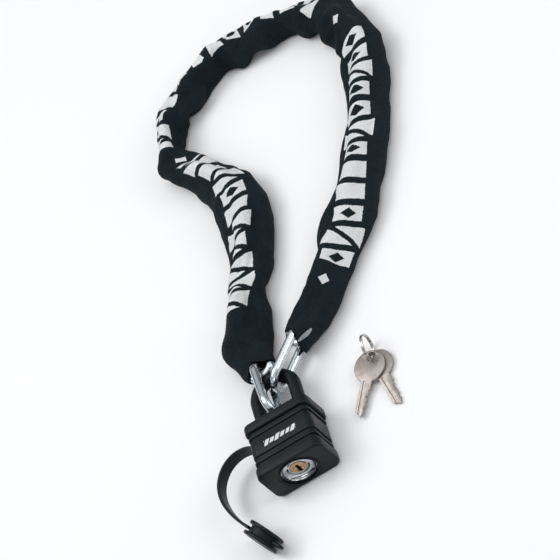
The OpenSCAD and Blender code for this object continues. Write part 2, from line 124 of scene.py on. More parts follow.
class Shader:
    """A principled material and short ways to add to its node tree."""

    def __init__(self, name, colour, roughness, metallic=0.0, **inputs):
        self.material = bpy.data.materials.new(name)
        self.material.use_nodes = True
        self.tree = self.material.node_tree
        self.surface = self.tree.nodes["Principled BSDF"]
        self.surface.inputs["Base Color"].default_value = (*colour, 1)
        self.surface.inputs["Roughness"].default_value = roughness
        self.surface.inputs["Metallic"].default_value = metallic
        for key, value in inputs.items():
            self.surface.inputs[key.replace("_", " ")].default_value = value
        self.coords = None
        self.height = None

    def node(self, kind, **settings):
        made = self.tree.nodes.new("ShaderNode" + kind)
        for key, value in settings.items():
            setattr(made, key, value)
        return made

    def put(self, socket, value):
        if isinstance(value, bpy.types.NodeSocket):
            self.tree.links.new(value, socket)
        else:
            socket.default_value = value

    def math(self, operation, a, b=0.0, clamp=False):
        made = self.node("Math", operation=operation, use_clamp=clamp)
        self.put(made.inputs[0], a)
        self.put(made.inputs[1], b)
        return made.outputs[0]

    def object_coords(self):
        if self.coords is None:
            self.coords = self.node("TexCoord").outputs["Object"]
        return self.coords

    def noise(self, scale, detail=3.0, roughness=0.55, stretch=None):
        made = self.node("TexNoise")
        vector = self.object_coords()
        if stretch:
            mapping = self.node("Mapping")
            mapping.inputs["Scale"].default_value = stretch
            self.put(mapping.inputs["Vector"], vector)
            vector = mapping.outputs[0]
        self.put(made.inputs["Vector"], vector)
        made.inputs["Scale"].default_value = scale
        made.inputs["Detail"].default_value = detail
        made.inputs["Roughness"].default_value = roughness
        return made.outputs["Fac"]

    def spread(self, value, low, high, from_low=0.3, from_high=0.7):
        made = self.node("MapRange")
        self.put(made.inputs["Value"], value)
        made.inputs["From Min"].default_value = from_low
        made.inputs["From Max"].default_value = from_high
        made.inputs["To Min"].default_value = low
        made.inputs["To Max"].default_value = high
        return made.outputs[0]

    def mix(self, factor, a, b):
        made = self.node("Mix", data_type="RGBA")
        self.put(made.inputs["Factor"], factor)
        self.put(made.inputs["A"], a if isinstance(a, bpy.types.NodeSocket) else (*a, 1))
        self.put(made.inputs["B"], b if isinstance(b, bpy.types.NodeSocket) else (*b, 1))
        return made.outputs["Result"]

    def colour(self, value):
        self.put(self.surface.inputs["Base Color"], value)

    def roughness(self, value):
        self.put(self.surface.inputs["Roughness"], value)

    def bump(self, height, distance, strength=1.0):
        made = self.node("Bump")
        self.put(made.inputs["Height"], height)
        made.inputs["Distance"].default_value = distance
        made.inputs["Strength"].default_value = strength
        if self.height is not None:
            self.put(made.inputs["Normal"], self.height)
        self.height = made.outputs[0]
        self.put(self.surface.inputs["Normal"], self.height)


def moulded(name, colour, pale, roughness, grain, depth):
    """Moulded plastic or rubber: cloudy gloss, faint dusty patches and a fine grain of a given depth."""
    shader = Shader(name, colour, roughness, Specular_IOR_Level=0.2)
    cloud = shader.noise(90, 4)
    shader.colour(shader.mix(shader.spread(cloud, 0, 0.55, 0.42, 0.75), colour, pale))
    shader.roughness(shader.spread(shader.noise(260, 4), roughness - 0.07, roughness + 0.09))
    shader.bump(shader.noise(grain, 2), depth)
    shader.bump(shader.noise(140, 3), depth * 1.5)
    return shader


def metal(name, colour, dark, roughness, brush=None, scratches=0.000012, patch=170, stain_and_reflection=0.8):
    """Plated or stamped metal: brushed or cloudy gloss, darker patches and fine scratches. The darker
    patches are stains, and on the chrome they are painted dark reflections.
    """
    shader = Shader(name, colour, roughness, 1.0)
    cloud = shader.noise(patch, 4)
    # Darker patches of the dark colour: stains, and on the chrome painted dark reflections
    shader.colour(shader.mix(shader.spread(cloud, 0, stain_and_reflection, 0.45, 0.72), colour, dark))
    shader.roughness(shader.spread(shader.noise(600, 3), roughness - 0.06, roughness + 0.1))
    shader.bump(shader.noise(1, 2, 0.5, brush or (900, 900, 900)), scratches)
    shader.bump(shader.noise(220, 2), scratches * 3)
    return shader


COVER_BLACK, COVER_DUST = (0.0042, 0.0078, 0.0088), (0.010, 0.015, 0.017)
COVER_GRAIN, COVER_GRAIN_DEPTH = 2300, 0.00005
cover_plastic = moulded("cover_plastic", COVER_BLACK, COVER_DUST, 0.38, COVER_GRAIN, COVER_GRAIN_DEPTH)
vinyl = moulded("shackle_vinyl", (0.004, 0.007, 0.009), (0.009, 0.014, 0.017), 0.36, 1500, 0.00002)
rubber = moulded("strap_rubber", (0.005, 0.009, 0.011), (0.012, 0.018, 0.021), 0.38, 1900, 0.00003)
zinc = metal(
    "link_zinc", (0.66, 0.72, 0.75), (0.40, 0.48, 0.53), 0.21, scratches=0.000006, patch=60, stain_and_reflection=0.45,
)
# The chrome's near-black patches are painted dark reflections, not stains
chrome = metal(
    "dish_chrome", (0.60, 0.62, 0.64), (0.02, 0.025, 0.03), 0.12, scratches=0.000004, patch=95, stain_and_reflection=1.0,
)
brass = metal("brass", (0.55, 0.36, 0.20), (0.20, 0.12, 0.07), 0.33, (900, 900, 900), patch=420, stain_and_reflection=1.0)
nickel = metal("key_nickel", (0.39, 0.355, 0.325), (0.27, 0.245, 0.225), 0.42, (260, 2600, 260))
ring_steel = metal("ring_steel", (0.60, 0.57, 0.54), (0.30, 0.28, 0.27), 0.22)
plate_steel = metal("plate_steel", (0.50, 0.51, 0.52), (0.30, 0.31, 0.32), 0.38, (200, 200, 3000))
shackle_steel = metal("shackle_steel", (0.66, 0.67, 0.69), (0.48, 0.49, 0.50), 0.24, (3000, 200, 3000))
spring_steel = metal("spring_steel", (0.58, 0.59, 0.60), (0.36, 0.36, 0.37), 0.28)
lever_steel = metal("lever_steel", (0.54, 0.51, 0.46), (0.36, 0.34, 0.30), 0.33)

FINISHES = {
    "cover": cover_plastic, "plate_steel": plate_steel, "rivet_steel": shackle_steel,
    "dish_chrome": chrome, "shackle_steel": shackle_steel, "shackle_vinyl": vinyl,
    "spring_steel": spring_steel, "lever_steel": lever_steel, "brass": brass,
    "pin_steel": spring_steel, "strap_rubber": rubber, "sleeve_fabric": rubber,
    "link_zinc": zinc, "key_nickel": nickel, "ring_steel": ring_steel,
}

for part in frame["record"]["subparts"]:
    mesh = nodes[part["node"]].data
    mesh.materials.clear()
    mesh.materials.append(FINISHES[part["material_slot"]].material)
    mesh.update()


# ---- mesh helpers ----

def piece(name, vertices, faces, shader, slot, body):
    """A new smooth mesh piece that rides on a body."""
    mesh = bpy.data.meshes.new(name)
    mesh.from_pydata([tuple(v) for v in vertices], [], [tuple(f) for f in faces])
    mesh.validate()
    made = bpy.data.objects.new(name, mesh)
    scene.collection.objects.link(made)
    mesh.materials.append(shader.material)
    mesh.shade_smooth()
    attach(made, body)
    return made


def sharp_edges(made, degrees):
    made.data.set_sharp_from_angle(angle=math.radians(degrees))


def tube_faces(rings, sides):
    """Faces of an open tube whose rings of vertices follow one another."""
    faces = []
    for i in range(rings - 1):
        for j in range(sides):
            here, there = i * sides, (i + 1) * sides
            beside = (j + 1) % sides
            faces.append((here + j, here + beside, there + beside, there + j))
    return faces


def rings_to_faces(rings, sides):
    """Faces of a tube with a flat face at each end, which come last."""
    first = tuple(range(sides))[::-1]
    last = tuple((rings - 1) * sides + j for j in range(sides))
    return [*tube_faces(rings, sides), first, last]


def lathe(profile, sides):
    """Vertices and faces of a closed profile of (along, radius) turned about the X axis."""
    vertices = [
        (along, radius * math.cos(math.tau * j / sides), radius * math.sin(math.tau * j / sides))
        for along, radius in profile for j in range(sides)
    ]
    return vertices, rings_to_faces(len(profile), sides)


def arc(centre, radius, start, end, steps):
    """Points on an arc in the profile's plane, angles in degrees."""
    angles = [math.radians(start + (end - start) * i / steps) for i in range(steps + 1)]
    return [(centre[0] + radius * math.cos(a), centre[1] + radius * math.sin(a)) for a in angles]


def rounded_rectangle(width, depth, radius, steps=7):
    """Points round a rectangle with round corners, counter-clockwise."""
    points = []
    for corner, (sx, sy) in enumerate(((1, 1), (-1, 1), (-1, -1), (1, -1))):
        centre = (sx * (width / 2 - radius), sy * (depth / 2 - radius))
        points += arc(centre, radius, 90 * corner, 90 * corner + 90, steps)
    return points


def apply_modifiers(made):
    """Bakes a piece's modifiers into its mesh."""
    graph = bpy.context.evaluated_depsgraph_get()
    graph.update()
    baked = bpy.data.meshes.new_from_object(made.evaluated_get(graph))
    old = made.data
    made.modifiers.clear()
    made.data = baked
    bpy.data.meshes.remove(old)


def carve(made, cutter_shapes, operation="DIFFERENCE"):
    """Boolean of a piece with closed shapes, each given as vertices and faces."""
    cutters = []
    for vertices, faces in cutter_shapes:
        mesh = bpy.data.meshes.new("cutter")
        mesh.from_pydata([tuple(v) for v in vertices], [], faces)
        cutter = bpy.data.objects.new("cutter", mesh)
        turn_outwards(cutter)
        scene.collection.objects.link(cutter)
        cutters.append(cutter)
        modifier = made.modifiers.new("carve", "BOOLEAN")
        modifier.operation = operation
        modifier.solver = "EXACT"
        modifier.object = cutter
    apply_modifiers(made)
    for cutter in cutters:
        bpy.data.meshes.remove(cutter.data)


def placed(shape, matrix):
    """A shape's vertices moved by a matrix, its faces as they are."""
    vertices, faces = shape
    return [matrix @ Vector(v) for v in vertices], faces


def scaled(points):
    return [tuple(c * MM for c in p) for p in points]


def turn_outwards(made):
    """Makes a piece's faces look out, and merges what coincides."""
    work = bmesh.new()
    work.from_mesh(made.data)
    bmesh.ops.remove_doubles(work, verts=work.verts, dist=1e-7)
    bmesh.ops.recalc_face_normals(work, faces=work.faces)
    work.to_mesh(made.data)
    work.free()


# ---- padlock cover, its heights measured along the shackle's legs from the body's middle ----

COVER_W, COVER_H, COVER_D, COVER_R = 51, 45, 32, 6
HOLLOW_W, HOLLOW_D, HOLLOW_R = 43.2, 23.8, 3.5
MID_Z = COVER_D / 2
# How far the grooves and the ribs lie inside the cover's outline
GROOVE, RIB = 2.2, 1.1
TOP_END, TOP_RIB, TOP_SHOULDER = 7.6, (10.2, 12.4), 15
BAND_LOW, BAND_HIGH = -5.5, 7.5
BOTTOM_END, BOTTOM_RIB, BOTTOM_SHOULDER = -5.6, (-10.8, -8.4), -13.6
LEG_X, LEG_BORE = 15.2, 3.65
DISH_BORE, DISH_MOUTH, COLLAR_R, COLLAR_SEAT_R = 12.4, 13.0, 14, 14.8
# Stands what is turned about X along the shackle's legs, at the middle of the cover's depth
PADLOCK_AXIS = Matrix(((0, 1, 0, 0), (1, 0, 0, 0), (0, 0, 1, MID_Z * MM), (0, 0, 0, 1)))


def step(low, high, inset, edge, steps=5):
    """Stations of a raised band with round edges between two grooves."""
    angles = [math.radians(90 * i / steps) for i in range(steps + 1)]
    rise = [(low + edge * (1 - math.cos(a)), inset + edge * (1 - math.sin(a))) for a in angles]
    fall = [(high - edge * (1 - math.cos(a)), inset + edge * (1 - math.sin(a))) for a in reversed(angles)]
    return rise + fall


def lofted(stations, width=COVER_W, depth=COVER_D, radius=COVER_R):
    """A rounded box whose outline draws in by each station's inset, along the shackle's legs."""
    vertices = []
    for y, inset in stations:
        corner = max(radius - 0.9 * inset, 0.5)
        outline = rounded_rectangle(width - 2 * inset, depth - 2 * inset, corner)
        vertices += [(x, y, MID_Z + z) for x, z in outline]
    sides = len(vertices) // len(stations)
    return scaled(vertices), rings_to_faces(len(stations), sides)


def drum(low, high, radius, x=0.0, edge=0.0, sides=56):
    """A round bar along the shackle's legs."""
    profile = [(low, radius - edge), (low + edge, radius), (high - edge, radius), (high, radius - edge)]
    if not edge:
        profile = [(low, radius), (high, radius)]
    shape = lathe([(a * MM, r * MM) for a, r in profile], sides)
    return placed(shape, Matrix.Translation((x * MM, 0, 0)) @ PADLOCK_AXIS)


def cavity(low, high):
    return lofted([(low, 0), (high, 0)], HOLLOW_W, HOLLOW_D, HOLLOW_R)


def cover_piece(name, stations, shader, holes, additions=(), first_cuts=()):
    made = piece(name, *lofted(stations), shader, "cover", "padlock")
    turn_outwards(made)
    if first_cuts:
        carve(made, first_cuts)
    if additions:
        carve(made, additions, "UNION")
    carve(made, holes)
    made.data.shade_smooth()
    sharp_edges(made, 38)
    return made


STRAP_ROOT = (-26, 12.4)
STRAP_LOW, STRAP_HIGH = 10, 20
SEAT_LOW, SEAT_HIGH = STRAP_LOW - 1, STRAP_HIGH + 1
STRAP_HEADING = 141.3


def upright_bar(at, low, high, radius, sides=40):
    vertices = [
        (at[0] + radius * math.cos(math.tau * j / sides), at[1] + radius * math.sin(math.tau * j / sides), z)
        for z in (low, high) for j in range(sides)
    ]
    return scaled(vertices), rings_to_faces(2, sides)


def seat_wedge():
    """The mouth of the strap's seat, wide enough for its swing."""
    corners = [STRAP_ROOT]
    for turn, reach in ((-62, 7), (0, 9), (62, 7)):
        angle = math.radians(STRAP_HEADING + turn)
        corners.append((STRAP_ROOT[0] + reach * math.cos(angle), STRAP_ROOT[1] + reach * math.sin(angle)))
    vertices = [(*c, z) for z in (SEAT_LOW, SEAT_HIGH) for c in corners]
    return scaled(vertices), rings_to_faces(2, 4)


def make_cover():
    top = [(TOP_END, GROOVE), (TOP_RIB[0], GROOVE), *step(*TOP_RIB, RIB, 0.4)]
    top += [(TOP_RIB[1], GROOVE), (TOP_SHOULDER, GROOVE), *step(TOP_SHOULDER, COVER_H / 2, 0, 1.5, 6)]
    cover_top = cover_piece(
        "cover_top_shell", top, cover_plastic,
        [cavity(6, 19.6), drum(19, 24, LEG_BORE, LEG_X), drum(19, 24, LEG_BORE, -LEG_X),
         upright_bar(STRAP_ROOT, SEAT_LOW, SEAT_HIGH, 1.75), seat_wedge()],
        [upright_bar(STRAP_ROOT, STRAP_LOW, STRAP_HIGH, 2.9)],
    )
    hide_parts("cover_top")

    middle = step(BAND_LOW, BAND_HIGH, RIB, 0.8, 6)
    band_hollow = cavity(BAND_LOW - 1.5, BAND_HIGH + 1.5)
    band = cover_piece("cover_middle_band", middle, band_plastic, [band_hollow])
    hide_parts("cover_band")

    # The pad keeps only its lowest 3 mm, on which the padlock rests
    pad = lofted([(-4.5, 0.4), (-4.1, 0), (6.1, 0), (6.5, 0.4)], 34, COVER_D, 1.2)
    upper_part = [(x, y, z) for y in (-9, 9) for x, z in ((-20, 3), (20, 3), (20, 40), (-20, 40))]
    rest = piece("rest_pad", *pad, cover_plastic, "cover", "padlock")
    turn_outwards(rest)
    carve(rest, [(scaled(upper_part), rings_to_faces(2, 4)), band_hollow])
    sharp_edges(rest, 38)

    bottom = [*step(-COVER_H / 2, BOTTOM_SHOULDER, 0, 1.8, 7), (BOTTOM_SHOULDER, GROOVE)]
    bottom += [(BOTTOM_RIB[0], GROOVE), *step(*BOTTOM_RIB, RIB, 0.4)]
    bottom += [(BOTTOM_RIB[1], GROOVE), (BOTTOM_END, GROOVE)]
    cover_bottom = cover_piece(
        "cover_bottom_shell", bottom, cover_plastic,
        [cavity(-18, -4), drum(-26, -14.5, DISH_BORE), drum(-26, -21.7, DISH_MOUTH)],
        [drum(-23.1, -19, COLLAR_R, edge=0.35)],
        [drum(-26, -22.1, COLLAR_SEAT_R)],
    )
    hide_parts("cover_bottom")


# ---- printed blocks, used on the sleeve and the cover ----

def printed_blocks(shader, along, across, pitch, half_height, slant, seed, cuts=True):
    """A mask of slanted blocks in a row: some solid, some slashed, some with a diamond hole.

    Fixed numbers are shares of the pitch along the row and of the half height across it.
    """
    slanted = shader.math("SUBTRACT", along, shader.math("MULTIPLY", across, slant))
    slid = shader.math("DIVIDE", slanted, pitch)
    cell = shader.math("FLOOR", slid)
    spot = shader.math("SUBTRACT", shader.math("SUBTRACT", slid, cell), 0.5)
    chance = shader.node("TexWhiteNoise", noise_dimensions="1D")
    shader.put(chance.inputs["W"], shader.math("ADD", cell, seed))
    luck = chance.outputs["Value"]
    half_width = shader.math("ADD", shader.math("MULTIPLY", luck, 0.10), 0.32)
    tall = shader.math("MULTIPLY", shader.math("GREATER_THAN", luck, 0.55), half_height * 0.24)
    reach = shader.math("ADD", tall, half_height * 0.76)
    wide = shader.math("ABSOLUTE", spot)
    high = shader.math("ABSOLUTE", across)
    in_width = shader.math("LESS_THAN", wide, half_width)
    block = shader.math("MULTIPLY", in_width, shader.math("LESS_THAN", high, reach))
    if not cuts:
        return block
    lean = shader.math("ADD", shader.math("MULTIPLY", spot, pitch), shader.math("MULTIPLY", across, 0.62))
    slash = shader.math("LESS_THAN", shader.math("ABSOLUTE", lean), half_height * 0.13)
    slash = shader.math("MULTIPLY", slash, shader.math("GREATER_THAN", luck, 0.5))
    diamond = shader.math("ADD", shader.math("MULTIPLY", wide, pitch * 1.5), high)
    hole = shader.math("LESS_THAN", diamond, half_height * 0.42)
    hole = shader.math("MULTIPLY", hole, shader.math("LESS_THAN", luck, 0.32))
    cut = shader.math("MAXIMUM", slash, hole)
    return shader.math("SUBTRACT", block, cut, clamp=True)


def between(shader, value, low, high):
    above = shader.math("GREATER_THAN", value, low)
    return shader.math("MULTIPLY", above, shader.math("LESS_THAN", value, high))


def make_band_plastic():
    """The cover's plastic with a short row of pale blocks printed on the front."""
    shader = moulded("band_plastic", COVER_BLACK, COVER_DUST, 0.36, COVER_GRAIN, COVER_GRAIN_DEPTH)
    split = shader.node("SeparateXYZ")
    shader.put(split.inputs[0], shader.object_coords())
    x, y, z = split.outputs
    centred = shader.math("SUBTRACT", y, 0.0009)
    mask = printed_blocks(shader, x, centred, 0.0042, 0.0022, 0.55, 11.0, cuts=False)
    mask = shader.math("MULTIPLY", mask, between(shader, x, -0.0126, 0.0126))
    mask = shader.math("MULTIPLY", mask, shader.math("GREATER_THAN", z, 0.0305))
    plain = shader.surface.inputs["Base Color"].links[0].from_socket
    shader.colour(shader.mix(mask, plain, (0.66, 0.68, 0.69)))
    return shader


def make_dish():
    """The chromed bowl round the keyway, with a collar against the plug."""
    back, inside, outside = -17.2, 6.1, 12.35
    collar = [(back, inside), (-18.6, inside), (-18.7, 6.4), (-18.5, 6.9)]
    bowl = [(-18.1, 7.7), (-18.0, 8.6), (-18.15, 9.6), (-18.6, 10.6), (-19.3, 11.4), (-20.2, 11.9)]
    rim = [(-20.8, 12.1), (-20.8, outside), (back, outside), (back, inside)]
    vertices, faces = lathe([(a * MM, r * MM) for a, r in collar + bowl + rim], 72)
    # The profile closes on itself, so it needs no end faces
    shape = placed((vertices, faces[:-2]), PADLOCK_AXIS)
    dish = piece("dish_bowl", *shape, chrome, "dish_chrome", "padlock")
    turn_outwards(dish)
    sharp_edges(dish, 60)
    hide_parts("keyway_dish")


band_plastic = make_band_plastic()
make_cover()
make_dish()


# ---- chain as the sleeve meets it, in millimetres ----

LOOP_REACH, END_REACH, BAR_OFF, WIRE = 13.5, 22.7, 9.2, 3.2
CHAIN_Z = 13.7
HEADINGS = (
    110, 70, 65, 75, 98, 127, 129, 80, 36, 21, -9, -19, -36, -76, -111, -106, -113, -119, -129, -126, -135,
)
LEFT_GRIP, LEFT_HEADING, LEFT_LEAN = (-3.5, 29.4, 18.6), 94.7, -4
RIGHT_GRIP, RIGHT_HEADING, RIGHT_LEAN = (2.2, 49.9, 17), 50.5, 10
LEFT_REACH = 47.526
# The sleeve's left mouth before its first pivot, and its right mouth from the right grip
LEFT_TAIL, RIGHT_MOUTH = 8, 32


def heading_vector(degrees):
    return np.array([math.cos(math.radians(degrees)), math.sin(math.radians(degrees))])


def chain_pivots():
    points = [np.array(LEFT_GRIP[:2]) + LEFT_REACH * heading_vector(LEFT_HEADING)]
    for i, heading in enumerate(HEADINGS):
        span = 2 * (END_REACH if i % 2 else LOOP_REACH)
        points.append(points[-1] + span * heading_vector(heading))
    return np.array(points)


def link_frames(pivots):
    """Each link's middle, its long axis, its wide axis and its flat side's axis."""
    up = np.array([0.0, 0.0, 1.0])
    frames = []
    for i, heading in enumerate(HEADINGS):
        middle = np.array([*(pivots[i] + pivots[i + 1]) / 2, CHAIN_Z])
        ahead = np.array([*heading_vector(heading), 0.0])
        side = np.cross(up, ahead)
        frames.append((middle, ahead, up, side) if i % 2 else (middle, ahead, side, up))
    ends = ((LEFT_GRIP, LEFT_HEADING, LEFT_LEAN), (RIGHT_GRIP, RIGHT_HEADING, RIGHT_LEAN))
    for grip, heading, lean in ends:
        drop = math.asin((grip[2] - CHAIN_Z) / (2 * END_REACH))
        ahead = np.array([*heading_vector(heading) * math.cos(drop), -math.sin(drop)])
        side = np.cross(up, ahead) / math.cos(drop)
        above = np.cross(ahead, side)
        turn = math.radians(90 + lean)
        wide = side * math.cos(turn) + above * math.sin(turn)
        frames.append((np.array(grip) + ahead * END_REACH, ahead, wide, np.cross(ahead, wide)))
    return frames


def smooth_route(points, spacing, rounds=3):
    """A route with its corners cut, evenly spaced, and the distance along it."""
    route = np.array(points, float)
    for _ in range(rounds):
        cut = np.empty((2 * len(route) - 2, route.shape[1]))
        cut[0::2] = 0.75 * route[:-1] + 0.25 * route[1:]
        cut[1::2] = 0.25 * route[:-1] + 0.75 * route[1:]
        route = np.vstack([route[:1], cut, route[-1:]])
    gone = np.r_[0, np.cumsum(np.linalg.norm(np.diff(route, axis=0), axis=1))]
    along = np.linspace(0, gone[-1], int(round(gone[-1] / spacing)) + 1)
    return np.stack([np.interp(along, gone, route[:, k]) for k in range(route.shape[1])], 1), along


# ---- woven sleeve ----

SIDES = 44
RING_STEP = 3.0
GIRTH = 94.0
CLOTH = 0.8
FLOOR_GAP = 0.5
# The solver: share of speed kept from step to step, and share that contact takes away in a sweep
KEPT_SPEED, CONTACT_DRAG = 0.90, 0.35
# Sweeps in each step, how far the cloth sinks in it, and how near a link's middle has to be to matter
SWEEPS, DROP, LINK_NEAR = 5, 0.015, 42
# Share of its cut length at which the cloth rests
LAID = 0.98
# The cloth's own girth against the pivots, as a share of GIRTH, set to the photo's outline.
# Below 1 the spare cloth is left out rather than gathered, and above 1 the cloth is wider than its cut
GIRTH_AT = (
    (0, 0.56), (0.5, 0.82), (1, 1.0), (1.5, 1.07), (1.8, 0.86), (2.1, 0.74), (2.5, 0.95), (3.0, 1.02),
    (3.6, 1.16), (4.3, 1.2), (5, 1.08), (5.6, 1.0), (6.1, 0.86), (6.6, 0.72), (7.2, 0.68), (7.8, 0.80),
    (8.3, 0.62), (8.9, 0.88), (9.5, 0.56), (10.1, 0.88), (10.6, 0.62), (11.1, 0.86), (11.5, 0.56),
    (12.0, 0.92), (12.35, 0.74), (13, 1.0), (14, 1.02), (15, 1.06), (16, 0.98), (17, 1.06), (17.6, 1.02),
    (18.3, 1.2), (18.8, 1.12), (19.2, 0.95), (20, 0.93), (20.6, 0.86), (21.3, 0.70),
)
# Where the middle of the print lies round the sleeve: 0 on its outer side, a quarter on top
PRINT_AT = ((0, 0.18), (3.3, 0.21), (4.2, 0.3), (6.2, 0.32), (7, 0.2), (8, 0.1), (12, 0.1), (13, 0.2),
            (14, 0.25), (17, 0.24), (18, 0.17), (19.6, 0.11), (22, 0.11))

# Pivots between which the creases grow deeper, with a fade at each end
BUNCHED_AT = (7, 8, 12, 12.6)


def link_push(points, link):
    """How deep points are in a link filled in like a dished plate, and the way out."""
    middle, ahead, wide, flat = link
    d = points - middle
    u, v, w = d @ ahead, d @ wide, d @ flat
    nearest = np.clip(u, -LOOP_REACH, LOOP_REACH)
    radius = np.hypot(u - nearest, v)
    over = np.maximum(radius - BAR_OFF, 0)
    dish, clear = 1.2, 0.7
    sag = dish * (1 - np.clip(radius / BAR_OFF, 0, 1) ** 4)
    depth = WIRE + clear - sag - np.hypot(over, w)
    safe = np.maximum(radius, 1e-6)
    out = ((u - nearest) / safe * over)[:, None] * ahead + (v / safe * over)[:, None] * wide
    out += w[:, None] * flat
    return depth, out / np.maximum(np.linalg.norm(out, axis=1, keepdims=True), 1e-6)


def pull(a, b, rest, stretch, squeeze):
    """Half of the move that brings two points towards their rest distance."""
    d = b - a
    length = np.linalg.norm(d, axis=-1, keepdims=True)
    excess = (length - rest[..., None]) / np.maximum(length, 1e-6)
    return 0.5 * np.where(excess > 0, stretch, squeeze) * excess * d


def pull_threads(x, axial, hoop):
    """Threads along the sleeve hardly stretch and buckle freely. Threads round it hold both ways."""
    for odd in (0, 1):
        count = (len(x) - odd) // 2
        lower, upper = slice(odd, odd + 2 * count, 2), slice(odd + 1, odd + 2 * count, 2)
        move = pull(x[lower], x[upper], axial[odd::2][:count], 0.9, 0.06)
        x[lower] += move
        x[upper] -= move
    for odd in (0, 1):
        y = np.roll(x, -odd, axis=1)
        move = pull(y[:, 0::2], y[:, 1::2], np.roll(hoop, -odd, axis=1)[:, 0::2], 0.9, 0.5)
        y[:, 0::2] += move
        y[:, 1::2] -= move
        x[:] = np.roll(y, odd, axis=1)


def resist_shear(x, slants):
    """Pulls along both slants of the weave."""
    for s, rest in zip((1, -1), slants):
        move = pull(x[:-1], np.roll(x[1:], -s, axis=1), rest, 0.25, 0.12) * 0.5
        x[:-1] += move
        x[1:] -= np.roll(move, s, axis=1)


def resist_bending(x, along, girth):
    """Stiffness against folding along the sleeve, then against flattening round it."""
    for n, stiff in ((2, 0.10), (4, 0.05)):
        rest = (along[n:] - along[:-n]) * LAID * 0.9
        move = pull(x[:-n], x[n:], rest, 0.0, stiff)
        x[:-n] += move
        x[n:] -= move
    for n, stiff in ((2, 0.15), (5, 0.10)):
        chord = girth / math.pi * math.sin(math.pi * n / SIDES) * 0.97
        rest = np.repeat(chord[:, None], SIDES, axis=1)
        move = pull(x, np.roll(x, -n, axis=1), rest, stiff * 0.4, stiff) * 0.5
        x += move
        x -= np.roll(move, n, axis=1)


def press_out(x, near):
    """Moves the cloth out of the links and off the floor, and says which points touched them."""
    touched = x[..., 2] < FLOOR_GAP
    for link, low, high in near:
        points = x[low:high].reshape(-1, 3)
        depth, out = link_push(points, link)
        pushed = points + np.maximum(depth, 0)[:, None] * out
        x[low:high] = pushed.reshape(high - low, SIDES, 3)
        touched[low:high] |= (depth > 0).reshape(high - low, SIDES)
    x[..., 2] = np.maximum(x[..., 2], FLOOR_GAP)
    return touched


def settle(x, along, girth, links, steps):
    """Lets the sleeve settle on its links and the floor.

    Rest lengths along it come from its cut, and those round it from each ring's own girth.
    """
    arc_step = np.repeat((girth / SIDES)[:, None], SIDES, axis=1)
    axial = np.abs(np.diff(along, axis=0)) * LAID
    hoop = np.hypot(arc_step, np.roll(along, -1, axis=1) - along)
    slants = [np.hypot(np.roll(along[1:], -s, axis=1) - along[:-1], arc_step[:-1]) for s in (1, -1)]
    middles = x.mean(1)
    near = []
    for link in links:
        found = np.where(np.linalg.norm(middles - link[0], axis=1) < LINK_NEAR)[0]
        if len(found):
            near.append((link, found[0], found[-1] + 1))
    before = x.copy()
    for _ in range(steps):
        glide = (x - before) * KEPT_SPEED
        before = x.copy()
        x = x + glide
        x[..., 2] -= DROP
        for sweep in range(SWEEPS):
            pull_threads(x, axial, hoop)
            resist_shear(x, slants)
            resist_bending(x, along, girth)
            if sweep % 2 == 0:
                touched = press_out(x, near)
                before = np.where(touched[..., None], before + (x - before) * CONTACT_DRAG, before)
    return x


def wrinkled(x, bunched):
    """Small creases that stand out from the settled cloth, deeper where it is bunched."""
    ahead = np.gradient(x, axis=0)
    around = np.roll(x, -1, axis=1) - np.roll(x, 1, axis=1)
    out = np.cross(around, ahead)
    out /= np.maximum(np.linalg.norm(out, axis=-1, keepdims=True), 1e-6)
    if ((x - x.mean(1, keepdims=True)) * out).sum() < 0:
        out = -out
    fine_size, broad_size = 9.0, 21.0
    crease = np.empty(x.shape[:2])
    for i, j in np.ndindex(*crease.shape):
        fine = noise.noise(Vector(x[i, j]) / fine_size)
        broad = noise.noise(Vector(x[i, j]) / broad_size + Vector((7, 3, 1)))
        crease[i, j] = max(0.0, 1.5 * fine + 1.6 * broad + 0.25)
    crease *= 1 + 0.9 * bunched[:, None]
    x = x + out * crease[..., None]
    x[..., 2] = np.maximum(x[..., 2], FLOOR_GAP)
    return x


def strung_rings(route, gone, along, share, angle):
    """The sleeve before it settles: rounded squares of its own girth, strung along the route."""
    reached = np.clip(along, 0, gone[-1])
    past = along - reached
    tangent = np.gradient(route, axis=0)
    centre = np.stack([np.interp(reached, gone, route[:, k]) for k in (0, 1)], -1)
    ahead = np.stack([np.interp(reached, gone, tangent[:, k]) for k in (0, 1)], -1)
    ahead /= np.linalg.norm(ahead, axis=-1, keepdims=True)
    centre = centre + past[..., None] * ahead
    side = np.stack([-ahead[..., 1], ahead[..., 0]], -1)
    half_width, half_height, squareness = 14.9, 13.0, 2 / 2.4
    across = np.sign(np.cos(angle)) * np.abs(np.cos(angle)) ** squareness * half_width * share[:, None]
    rise = np.sign(np.sin(angle)) * np.abs(np.sin(angle)) ** squareness
    rise = rise * half_height * np.minimum(1, share[:, None] * 1.03)
    return np.dstack([centre + side * across[..., None], CHAIN_Z + rise])


